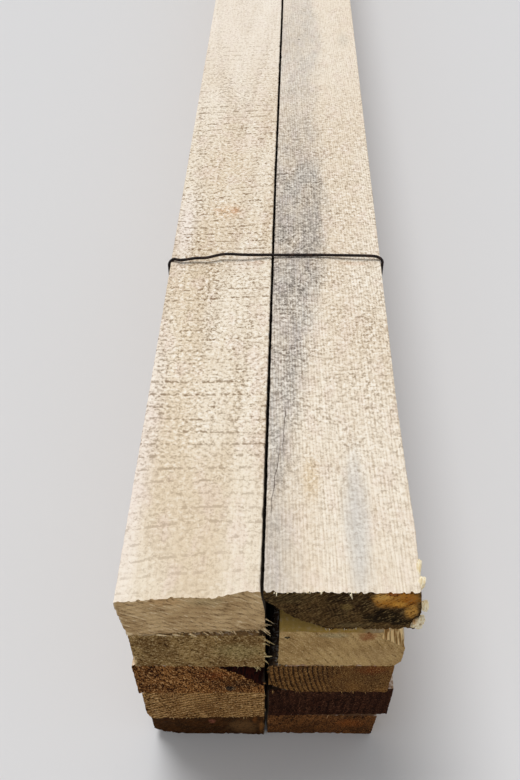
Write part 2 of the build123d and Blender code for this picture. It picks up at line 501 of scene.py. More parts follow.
# The bake's own map: the four long faces side by side, cut into segments that fill a square grid
# of cells, with both ends at a larger scale in the last cell
def layOut(bm, half):
    uv = bm.loops.layers.uv.new("OFBake")
    gap, margin, cell = bakeMap["gap"], bakeMap["margin"], bakeMap["cell"]
    width, height = 2 * half.x, 2 * half.z
    starts = {(2, 1): gap, (2, -1): width + 2 * gap, (0, -1): 2 * width + 3 * gap,
              (0, 1): 2 * width + height + 4 * gap}
    whole = bakeMap["cells"] * cell
    last = (bakeMap["cells"] - 1) * cell
    for f in bm.faces:
        axis = max(range(3), key=lambda i: abs(f.normal[i]))
        way = 1 if f.normal[axis] > 0 else -1
        segment = min(int(f.calc_center_median().y / bakeMap["segment"]), 7)
        for loop in f.loops:
            x, y, z = loop.vert.co
            if axis == 1:
                scale = bakeMap["endScale"]
                u = last + margin + scale * (x + half.x)
                v = last + margin + scale * (z + half.z) + (0 if way < 0 else scale * height + margin)
            else:
                across = x + half.x if axis == 2 else z + half.z
                u = segment % bakeMap["cells"] * cell + starts[(axis, way)] + across
                v = segment // bakeMap["cells"] * cell + margin + y - segment * bakeMap["segment"]
            loop[uv].uv = (u / whole, v / whole)


# Noise from 0 to 1
def softNoise(x, y, z):
    return 0.5 + 0.5 * noise.noise(Vector((x, y, z)))


# How deep the saw and the wear have gone into a long face, in millimetres
def faceDepth(x, y, z, plank, seam):
    look, seed = plank["face"], plank["seed"]
    drift = noise.noise(Vector((seed, y / 60, 0.5)))
    along = y - look["sawTilt"] * x + 6 * drift
    saw = 0.5 + 0.5 * math.sin(2 * math.pi * along / look["sawPitch"])
    wool = softNoise(x / 1.7, y / 2.3, z / 1.7 + 9 * seed)
    sway = softNoise(x / 26, y / 85, z / 26 + 5 * seed)
    depth = plankShape["sawDepth"] * saw + plankShape["woolDepth"] * wool + plankShape["swayDepth"] * sway
    if seam:
        ripple = softNoise(seed, y / 8, z / 14)
        tremble = softNoise(seed, y / 2.6, z / 5)
        depth += plankShape["seamSway"] * ripple * (0.5 * ripple + 0.5 * tremble)
    return depth


# And into a sawn end
def endDepth(x, z, half, plank, way):
    seed = plank["seed"] + 40 * way
    turn = math.radians(plank["end"]["scoreTurn"])
    along, across = x * math.sin(turn) + z * math.cos(turn), x * math.cos(turn) - z * math.sin(turn)
    score = softNoise(across / 1.1, along / 4.5, seed)
    grit = softNoise(x / 0.8, z / 1.5, seed)
    swell = softNoise(x / 9, z / 7, seed)
    fromRim = min(half.x - abs(x), half.z - abs(z))
    chips = max(0.0, noise.noise(Vector((x / 1.6, z / 1.6, seed + 7)))) * max(0.0, 1 - fromRim / 1.6)
    depths = zip(plankShape["endDepths"], (score, grit, swell, chips, 1))
    return plank["endRoughness"] * sum(deepest * part for deepest, part in depths)


# A wedge that the CAD node still has at the top right: how far from the middle its face lies
def chipReach(chip, way, half, y):
    if chip is None or y > chip["run"]:
        return math.inf
    taper = 1 - y / chip["run"]
    across, down = chip["across"] * taper, chip["down"] * taper
    toward = way.x * down + way.z * across
    bulge = 1 + chip["bulge"] * taper * noise.noise(Vector((9 * way.x, 14 * way.z, y / 9)))
    return bulge * ((half.x - across) * down + half.z * across) / toward if toward > 0 else math.inf


# How far a side strays from the CAD node's, by its height and its place along the pack
def strayAt(strays, share, lift, y):
    total = 0.0
    for side, up, along in strays:
        weight = share if side == "right" else 1 - share
        total += float(np.interp(lift, *zip(*up)) * np.interp(y, *zip(*along))) * weight * weight
    return total


# How round the nearest arris is, with the nicks in it
def arrisRadius(x, y, z, seed):
    corner = (2 if x > 0 else 0) + (1 if z > 0 else 0)
    wear = noise.noise(Vector((y / 7, corner * 9 + seed, 0)))
    nick = max(0.0, noise.noise(Vector((y / 2.6, corner * 9 + seed, 3))) - plankShape["nickFrom"])
    return plankShape["arris"] + plankShape["arrisWear"] * (0.5 + wear) ** 2 + plankShape["nick"] * nick


def sawnPlank(plank):
    node, seed = plank["node"], plank["seed"]
    low, high = (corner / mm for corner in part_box(node))
    cad = readCad(node)
    side = -1 if "left" in node else 1
    nearAt = endFinder(cad, low, high, side, -1)
    farAt = endFinder(cad, low, high, side, 1)
    half, centre = (high - low) / 2, (low + high) / 2
    corners = [(x, z) for x in (low.x, high.x) for z in (low.z, high.z)]
    firstWhole = max(nearAt(*corner) for corner in corners) + plankShape["wholeInset"]
    lastWhole = min(farAt(*corner) for corner in corners) - plankShape["wholeInset"]
    length = high.y - low.y
    bm = squareBar(half, rowPlaces(length, plank["kind"]), plank["kind"])
    layOut(bm, half)
    missing = bm.verts.layers.float.new("missing")
    for v in bm.verts:
        x, row, z = v.co
        yNear, yFar = nearAt(centre.x + x, centre.z + z), farAt(centre.x + x, centre.z + z)
        y = yNear + (yFar - yNear) * row / length
        fromNear = y - yNear
        onSkin = abs(x) > half.x - 1e-4 or abs(z) > half.z - 1e-4
        radius = arrisRadius(x, y, z, seed)
        flatX, flatZ = half.x - radius, half.z - radius
        flat = Vector((max(-flatX, min(flatX, x)), 0, max(-flatZ, min(flatZ, z))))
        out = Vector((x, 0, z)) - flat
        if out.length > radius:
            out *= radius / out.length
        p = flat + out
        # the whole section draws in where the CAD node lacks wood
        lack = 0.0
        if p.length > plankShape["core"]:
            way = p.normalized()
            start = Vector((centre.x, min(max(y, firstWhole), lastWhole), centre.z))
            hit = cad.ray_cast(start, way)[3]
            if hit is not None:
                hit = min(hit, chipReach(plank["chip"], way, half, fromNear))
                if onSkin:
                    lack = max(0.0, p.length - hit)
                    p *= min(1.0, hit / p.length)
                else:
                    edge = min(half.x / max(abs(way.x), 1e-6), half.z / max(abs(way.z), 1e-6))
                    p *= min(1.0, hit / edge)
        v[missing] = min(1.0, lack)
        if onSkin and lack > plankShape["bareFrom"]:
            p -= p.normalized() * plankShape["tornDepth"] * softNoise(x / 1.4, y / 22, z / 1.4 + seed)
        elif onSkin and out.length > 0:
            seam = abs(out.x) > abs(out.z) and x * side < 0
            p -= out.normalized() * faceDepth(x, y, z, plank, seam)
        share, lift = 0.5 + 0.5 * x / half.x, 0.5 + 0.5 * z / half.z
        p.x += strayAt(plank["strays"], share, lift, fromNear)
        if row < length / 2:
            step = np.interp(centre.x + x - seamX / mm, *zip(*plank["edgeSteps"]))
            y += float(step) * lift * max(0.0, 1 - fromNear / plankShape["stepReach"])
            y += endDepth(x, z, half, plank, -1) * max(0.0, 1 - fromNear / plankShape["endReach"])
        else:
            y -= endDepth(x, z, half, plank, 1) * max(0.0, 1 - (yFar - y) / plankShape["endReach"])
        v.co = Vector((centre.x + p.x, y, centre.z + p.z)) * mm
    bm.normal_update()
    piece = meshObject(plank["name"], bm)
    piece.data.materials.append(sawnFace(plank))
    piece.data.materials.append(sawnEnd(plank))
    joinTorn(piece, tornWood(plank, nearAt, farAt, low, high))
    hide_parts(node)
    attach(piece, "root")
    print(plank["name"], len(piece.data.polygons), "faces")


tornShape = {
    "thickness": (0.25, 0.8),
    "length": (0.6, 3.2),
    "curl": 0.45,
    "bends": 3,
    "point": 0.12,
    "flatness": 0.5,
    "lumpSwell": 0.36,
    "lumpFold": 0.16,
    "lumpCurl": 0.3,
    "clump": 3,  # fibres that stand together
    "clumpReach": 0.012,  # as a share of the edge
    "mapPlace": (4.0, 114.0),  # the torn wood's part of the last cell of the bake's map
    "mapSize": (150.0, 42.0),
    "lowest": 0.15,  # nothing hangs below the floor
}


# A single fibre: a thin flat splinter that tapers and bends as it goes
def addFibre(bm, root, way, length, thickness, curl, chance):
    before = len(bm.verts)
    bmesh.ops.create_cone(bm, cap_ends=True, segments=4, radius1=thickness / 2,
                          radius2=thickness * tornShape["point"], depth=length)
    bm.verts.ensure_lookup_table()
    rails = {e for v in bm.verts[before:] for e in v.link_edges
             if abs(e.verts[0].co.z - e.verts[1].co.z) > length / 2}
    bmesh.ops.subdivide_edges(bm, edges=list(rails), cuts=tornShape["bends"])
    bm.verts.ensure_lookup_table()
    made = bm.verts[before:]
    bend = Vector((chance.uniform(-1, 1), chance.uniform(-1, 1), 0)) * curl * length
    for v in made:
        along = v.co.z / length + 0.5
        v.co.y *= tornShape["flatness"]
        v.co += bend * along * along + Vector((0, 0, length / 2))
    turn = way.to_track_quat("Z", "Y").to_matrix().to_4x4()
    turn = turn @ Matrix.Rotation(chance.uniform(0, math.pi), 4, "Z")
    bmesh.ops.transform(bm, matrix=Matrix.Translation(root) @ turn, verts=made)


# A chunk of wood prised out at a corner and curled over
def addLump(bm, at, size, turn, seed):
    made = bmesh.ops.create_icosphere(bm, subdivisions=4, radius=1.0)["verts"]
    for v in made:
        swell = noise.noise(Vector((v.co.x * 1.1 + seed, v.co.y * 0.9, v.co.z * 1.1)))
        fold = noise.noise(Vector((v.co.x * 2.6, v.co.y * 0.7, v.co.z * 2.6 + seed)))
        v.co *= 1 + tornShape["lumpSwell"] * swell + tornShape["lumpFold"] * fold
        v.co.x += tornShape["lumpCurl"] * v.co.y * v.co.y
    sized = Matrix.Diagonal((*size, 1.0))
    tilt, spin = math.radians(turn[0]), math.radians(turn[1])
    turned = Matrix.Rotation(tilt, 4, "X") @ Matrix.Rotation(spin, 4, "Z")
    bmesh.ops.transform(bm, matrix=Matrix.Translation(at) @ turned @ sized, verts=made)


# The frayed edges of a plank's ends. Fibres stand in clumps, and lean the way the saw dragged them.
def addFrays(bm, row, nearAt, farAt, low, high, chance):
    start, end = row["span"]
    sign = 1 if row["edge"] in ("top", "right") else -1
    far = row["end"] == "far"
    for i in range(row["count"]):
        if i % tornShape["clump"] == 0:
            clump = chance.uniform(start, end)
        share = min(end, max(start, clump + chance.gauss(0, tornShape["clumpReach"])))
        inset = chance.uniform(0.2, 0.8)
        if row["edge"] in ("top", "bottom"):
            x = low.x + share * (high.x - low.x)
            z = high.z - inset if sign > 0 else low.z + inset
            outward = Vector((chance.uniform(-0.6, 0.6), 0, sign))
        else:
            z = low.z + share * (high.z - low.z)
            x = high.x - inset if sign > 0 else low.x + inset
            outward = Vector((sign, 0, chance.uniform(-0.6, 0.6)))
        y = farAt(x, z) - 0.3 if far else nearAt(x, z) + 0.3
        ahead = Vector((0, 1 if far else -1, 0)) * chance.uniform(0.3, 1.0)
        way = outward * row["spread"] + ahead + Vector((row["drag"], 0, 0))
        shortest, longest = tornShape["length"]
        length = (shortest + (longest - shortest) * chance.random() ** 2) * row["scale"]
        thickness = chance.uniform(*tornShape["thickness"]) * row["weight"]
        addFibre(bm, Vector((x, y, z)), way, length, thickness, tornShape["curl"], chance)


def tornWood(plank, nearAt, farAt, low, high):
    bm = bmesh.new()
    chance = random.Random(plank["seed"])
    seam = Vector((seamX, nearEnd, topLevel)) / mm
    for row in plank["frays"]:
        addFrays(bm, row, nearAt, farAt, low, high, chance)
    for at, way, length, thickness, curl in plank["shreds"]:
        addFibre(bm, seam + Vector(at), Vector(way), length, thickness, curl, chance)
    for at, size, turn, seed in plank["lumps"]:
        addLump(bm, seam + Vector(at), size, turn, seed)
    for v in bm.verts:
        v.co.z = max(v.co.z, tornShape["lowest"])
    bmesh.ops.transform(bm, matrix=Matrix.Scale(mm, 4), verts=bm.verts)
    for f in bm.faces:
        f.smooth = True
    torn = meshObject(plank["name"] + "_torn", bm)
    torn.data.uv_layers.new(name="OFBake")
    torn.data.materials.append(tornFibre(plank))
    return torn


# Joins the torn wood to its plank, its own small map moved into the space that the plank's leaves
def joinTorn(piece, torn):
    bpy.ops.object.select_all(action="DESELECT")
    torn.select_set(True)
    bpy.context.view_layer.objects.active = torn
    bpy.ops.object.mode_set(mode="EDIT")
    bpy.ops.mesh.select_all(action="SELECT")
    bpy.ops.uv.smart_project(angle_limit=1.15, island_margin=0.004, scale_to_bounds=True)
    bpy.ops.object.mode_set(mode="OBJECT")
    last, whole = (bakeMap["cells"] - 1) * bakeMap["cell"], bakeMap["cells"] * bakeMap["cell"]
    place, size = tornShape["mapPlace"], tornShape["mapSize"]
    for spot in torn.data.uv_layers["OFBake"].data:
        spot.uv = [(last + place[i] + size[i] * spot.uv[i]) / whole for i in (0, 1)]
    piece.select_set(True)
    bpy.context.view_layer.objects.active = piece
    bpy.ops.object.join()


# A row of torn fibres along an edge of an end, or along a part of that edge
def fray(edge, count, span=(0.02, 0.98), end="near", drag=0.0, spread=0.8, scale=1.0, weight=1.0):
    return {"edge": edge, "count": count, "span": span, "end": end, "drag": drag, "spread": spread,
            "scale": scale, "weight": weight}


# What a plank has unless its own dictionary says otherwise
anyPlank = {
    "kind": "lower",
    "endRoughness": 1.0,
    "edgeSteps": [(0, 0)],
    "chip": None,
    "strays": [],
    "fibreSpots": [],
    "shreds": [],
    "lumps": [],
}

# The planks, in millimetres: across from the seam, along from the near end and up from the top face.
# A spot has its place, size, softness, amount and tone. A stray has its side, and how far the side is
# off by its height and along the pack. A shred has its place, way, length, thickness and curl, and a
# lump has its place, size, turn and seed.
farFrays = [fray("bottom", 18, end="far"), fray("top", 9, end="far"),
            fray("left", 6, end="far"), fray("right", 6, end="far")]
farBottomFrays = [fray("top", 9, end="far"), fray("left", 6, end="far")]

topLeft = {
    "node": "plank_left_1", "slot": "pale_pine", "kind": "top", "seed": 1, "fibre": (240, 218, 176),
    "fibreShade": (196, 164, 112),
    "strays": [
        ("right", [(0, 0), (0.5, -0.1), (1, -1.65)], [(0, 1), (250, 0.85), (450, 0.25), (700, 0)]),
    ],
    "edgeSteps": [
        (-50, -0.8), (-33, -0.2), (-29, 0.2), (-17, -0.7), (-13.5, -0.1), (-8, 1.1), (0, 1.0),
    ],
    "face": {
        "ringAmount": 0.05, "pith": (-30, -70),
        "torn": [
            (0, 0.3), (0.02, 0.4), (0.05, 0.65), (0.09, 1.0), (0.2, 1.0), (0.3, 0.75), (0.4, 0.4),
            (1, 0.8),
        ],
        "paintedLight": [(0, 0), (0.2, 0), (0.3, 0.4), (0.4, 0.7), (0.6, 0.4), (1, 0.2)],
        "spots": [
            ((-50, 60, 0), (9, 120, 12), 0.9, 0.6, (250, 238, 230)),
            ((-46, 205, 0), (8, 50, 12), 0.9, 0.5, (248, 236, 232)),
            ((-25, 221, 0), (10, 10, 8), 0.9, 0.4, (226, 180, 132)),
            ((-21.5, 222, 0), (3.6, 4.4, 4), 0.9, 0.5, (206, 140, 88)),
            ((-30, 222, 0), (4.6, 2.2, 4), 0.9, 0.5, (208, 156, 106)),
            # a rust tinge and the painted shadow of the wire, just in front of it
            ((-8, 179.5, 1), (9, 2.2, 3), 0.8, 0.3, (206, 150, 112)),
        ],
    },
    "end": {
        "scoreSize": (0.6, 4, 4.6), "scoreTurn": -52, "scoreAmount": 0.64, "speck": (0.6, 2, 0.9),
        "gapAmount": 0.62, "gapRamp": 0.16, "gapLevel": 0.51,
        "spots": [
            # the pale left arris of the end: painted light
            ((-50.6, 1, -6), (1.2, 30, 8), 0.6, 0.6, (232, 210, 172)),
            ((-50.0, 1, -16), (1.3, 30, 7), 0.6, 0.6, (232, 210, 172)),
            ((-48.8, 1, -23.6), (3.0, 30, 1.8), 0.6, 0.75, (242, 218, 176)),
            ((-34, 1, -2), (9, 30, 4), 0.8, 0.4, (196, 150, 98)),
            ((-20, 1, -3), (9, 30, 4), 0.8, 0.4, (188, 170, 128)),
        ],
    },
    "frays": [
        fray("bottom", 30, drag=1.6, spread=0.35, weight=1.3),
        fray("bottom", 14, span=(0.6, 0.99), scale=1.5, drag=1.3, weight=1.3),
        fray("right", 3, span=(0.02, 0.5)),
    ] + farFrays,
    "shreds": [
        ((-0.4, 3.4, -16.4), (1, -0.5, 0.05), 3.4, 0.8, 0.1),
        ((-1.2, 3.2, -22.4), (1, -0.6, -0.3), 3.2, 1.3, 0.3),
        ((-1.6, 3.2, -23.6), (1, -0.5, -1.0), 4.2, 0.9, 0.3),
        ((-3.8, 3.4, -24.2), (0.7, -0.6, -0.8), 4.4, 0.8, 0.2),
        ((-7.5, 3.4, -24.2), (0.5, -0.6, -0.9), 3.4, 0.7, 0.2),
        ((-38.5, 0.6, -24.5), (1, -0.12, -0.05), 5.6, 1.2, 0.05),
        ((-32.8, 1.0, -24.6), (1, -0.16, -0.1), 4.2, 1.0, 0.08),
        ((-27.0, 1.4, -24.4), (1, -0.3, -0.5), 3.0, 1.0, 0.15),
        ((-22.0, 1.8, -24.2), (1, -0.3, -0.6), 3.6, 1.1, 0.1),
        ((-17.5, 2.2, -24.2), (1, -0.3, -0.7), 3.2, 1.0, 0.1),
        ((-11.5, 2.6, -24.2), (0.6, -0.5, -0.8), 3.4, 0.9, 0.2),
    ],
}

topRight = {
    "node": "plank_right_1", "slot": "blue_stained_pine", "kind": "top", "seed": 2, "endRoughness": 1.6,
    "fibre": (246, 236, 208), "fibreShade": (222, 200, 156),
    "strays": [
        ("left", [(0, -1.0), (1, -1.95)], [(0, 1), (250, 0.85), (450, 0.25), (700, 0)]),
        ("right", [(0, 0.8), (1, 1)], [(0, 0.8), (10, 1.1), (25, 1.45), (41, 0.96), (60, 0.5), (90, 0)]),
        ("right", [(0, 1.2), (0.5, 1.8), (0.85, 0.6), (1, 0)], [(0, 1), (8, 0.9), (20, 0)]),
    ],
    "fibreSpots": [
        ((50.0, 5, -17), (2.2, 6, 3.2), 0.8, 0.7, (198, 142, 66)),
        ((51.8, 6, -13.4), (1.8, 6, 1.5), 0.6, 0.85, (92, 54, 30)),
        # painted shade in the crease between the lumps
        ((53.0, 5, -18.6), (1.0, 6, 2.2), 0.8, 0.5, (170, 140, 96)),
        # painted shade on the underside of the top lump
        ((51.2, 9, -2.6), (1.6, 4, 1.2), 0.8, 0.4, (206, 176, 118)),
    ],
    "face": {
        "pale": (248, 236, 216), "warm": (240, 224, 200), "fleckAmount": 0.85, "sawPitch": 4.4,
        "sawAmount": 0.06, "ring": (222, 202, 176), "ringAmount": 0.5, "ringPitch": 1.25,
        "ringWaver": 1.4, "streakAmount": 0.34, "pith": (-80, -34), "lean": (-0.035, 0.0),
        "torn": [(0, 0.3), (0.03, 0.5), (0.07, 0.85), (0.15, 1.0), (0.26, 0.8), (0.36, 0.45), (1, 0.8)],
        "paintedLight": [(0, 0.2), (0.2, 0.1), (0.3, 0.25), (0.4, 0.35), (0.6, 0.3), (1, 0.2)],
        "missing": (66, 50, 34), "missingDeep": (30, 25, 20),
        # its edge is in shares of the width of the stock
        "stain": {
            "edge": [
                (0, 0.20), (0.035, 0.18), (0.076, 0.23), (0.1, 0.31), (0.127, 0.39), (0.18, 0.51),
                (0.227, 0.48), (0.295, 0.44), (0.34, 0.52), (0.39, 0.5), (0.5, 0.24), (0.6, 0.32),
                (0.68, 0.44), (0.82, 0.2), (1, 0.3),
            ],
            "strength": [
                (0, 0.7), (0.05, 0.76), (0.1, 0.8), (0.15, 0.9), (0.19, 0.88), (0.227, 0.72),
                (0.262, 0.52), (0.29, 0.44), (0.32, 0.52), (0.37, 0.53), (0.41, 0.4), (0.47, 0.25),
                (0.6, 0.6), (0.7, 0.8), (0.85, 0.5), (1, 0.6),
            ],
            "tone": (216, 222, 234), "fleckShade": (64, 56, 52), "fringe": (5, 26, 5), "fringeReach": 9,
            "cloud": (8, 24, 8), "roughening": 0.05,
        },
        "spots": [
            ((31, 32, 0), (7, 48, 10), 0.9, 0.7, (208, 206, 202)),
            ((15, 52, 0), (5, 15, 6), 0.8, 0.5, (228, 202, 162)),
            ((42, 427, 0), (6, 18, 6), 0.9, 0.35, (204, 198, 186)),
            # a rust tinge and the painted shadow of the wire, just in front of it
            ((38, 180, 1), (11, 2.2, 3), 0.8, 0.35, (204, 146, 106)),
            ((11.7, 427, 0), (0.9, 1.2, 2), 0.6, 0.9, (70, 56, 48)),
        ],
        "cracks": [((3.0, 65), (0.6, 36), 0.27), ((5.4, 86), (4.4, 66), 0.25)],
    },
    "end": {
        "light": (80, 59, 31), "deep": (56, 39, 19), "gapAmount": 0.8, "tip": (150, 126, 82),
        "tipAmount": 0.45, "scoreTurn": 48, "speck": (0.7, 2, 0.9),
        "spots": [
            ((6, 5, -3), (11, 30, 6), 0.6, 0.5, (70, 58, 34)),
            ((24, 5, -4), (9, 30, 6), 0.7, 0.85, (44, 29, 13)),
            ((33, 5, -8), (3.2, 30, 10), 0.7, 0.8, (42, 28, 12)),
            ((27, 5, -9.5), (3, 30, 3), 0.8, 0.6, (140, 116, 66)),
            ((43.5, 5, -4), (10, 30, 7.5), 0.5, 0.9, (190, 128, 48)),
            ((38.6, 5, -3), (4.6, 30, 4), 0.8, 0.7, (226, 176, 92)),
            ((47.6, 5, -4.6), (3.4, 30, 5), 0.9, 0.6, (160, 92, 26)),
            ((44.4, 5, -7.4), (3.6, 30, 2), 0.8, 0.6, (222, 164, 72)),
            ((49.2, 5, -12), (3.0, 30, 6), 0.6, 0.8, (214, 158, 76)),
            ((42, 5, -1.2), (3.0, 30, 1.5), 0.7, 0.8, (142, 70, 26)),
            ((40, 5, -16), (9, 30, 5.5), 0.4, 0.92, (34, 24, 11)),
            ((46, 5, -20), (4.5, 30, 3.6), 0.5, 0.85, (28, 20, 10)),
            ((30, 5, -22), (9, 30, 2.4), 0.7, 0.5, (110, 94, 64)),
        ],
    },
    "frays": [
        fray("top", 26, span=(0.04, 0.6), spread=0.25, scale=0.4),
        fray("bottom", 16, span=(0.4, 0.96), scale=0.6),
    ] + farFrays,
    "shreds": [
        ((27.6, 5.0, -0.6), (0.4, -0.6, -0.7), 1.8, 1.4, 0.1),
        ((18.0, 5.2, -0.4), (-0.2, -0.6, 0.6), 1.6, 1.3, 0.2),
    ],
    "lumps": [
        ((51.3, 10.2, -1.2), (1.5, 2.5, 1.5), (-6, -8), 1),
        ((50.9, 15.5, -0.8), (1.0, 3.2, 1.0), (4, -6), 5),
        ((52.9, 6.6, -10.0), (1.8, 1.6, 2.0), (10, -10), 2),
        ((51.7, 4.9, -18.0), (1.6, 1.2, 1.9), (10, 34), 3),
        ((53.2, 5.4, -17.4), (1.2, 1.5, 2.8), (12, 20), 4),
        ((52.6, 4.9, -20.8), (1.4, 1.3, 1.3), (0, 30), 6),
        ((51.0, 5.0, -20.6), (1.1, 1.0, 1.0), (30, 60), 8),
    ],
}

# A gap between two planks that closes a little way in from each end of the pack
closedInside = [(0, 0.3), (2, 0.8), (5, 1), (1195, 1), (1200, 0.3)]

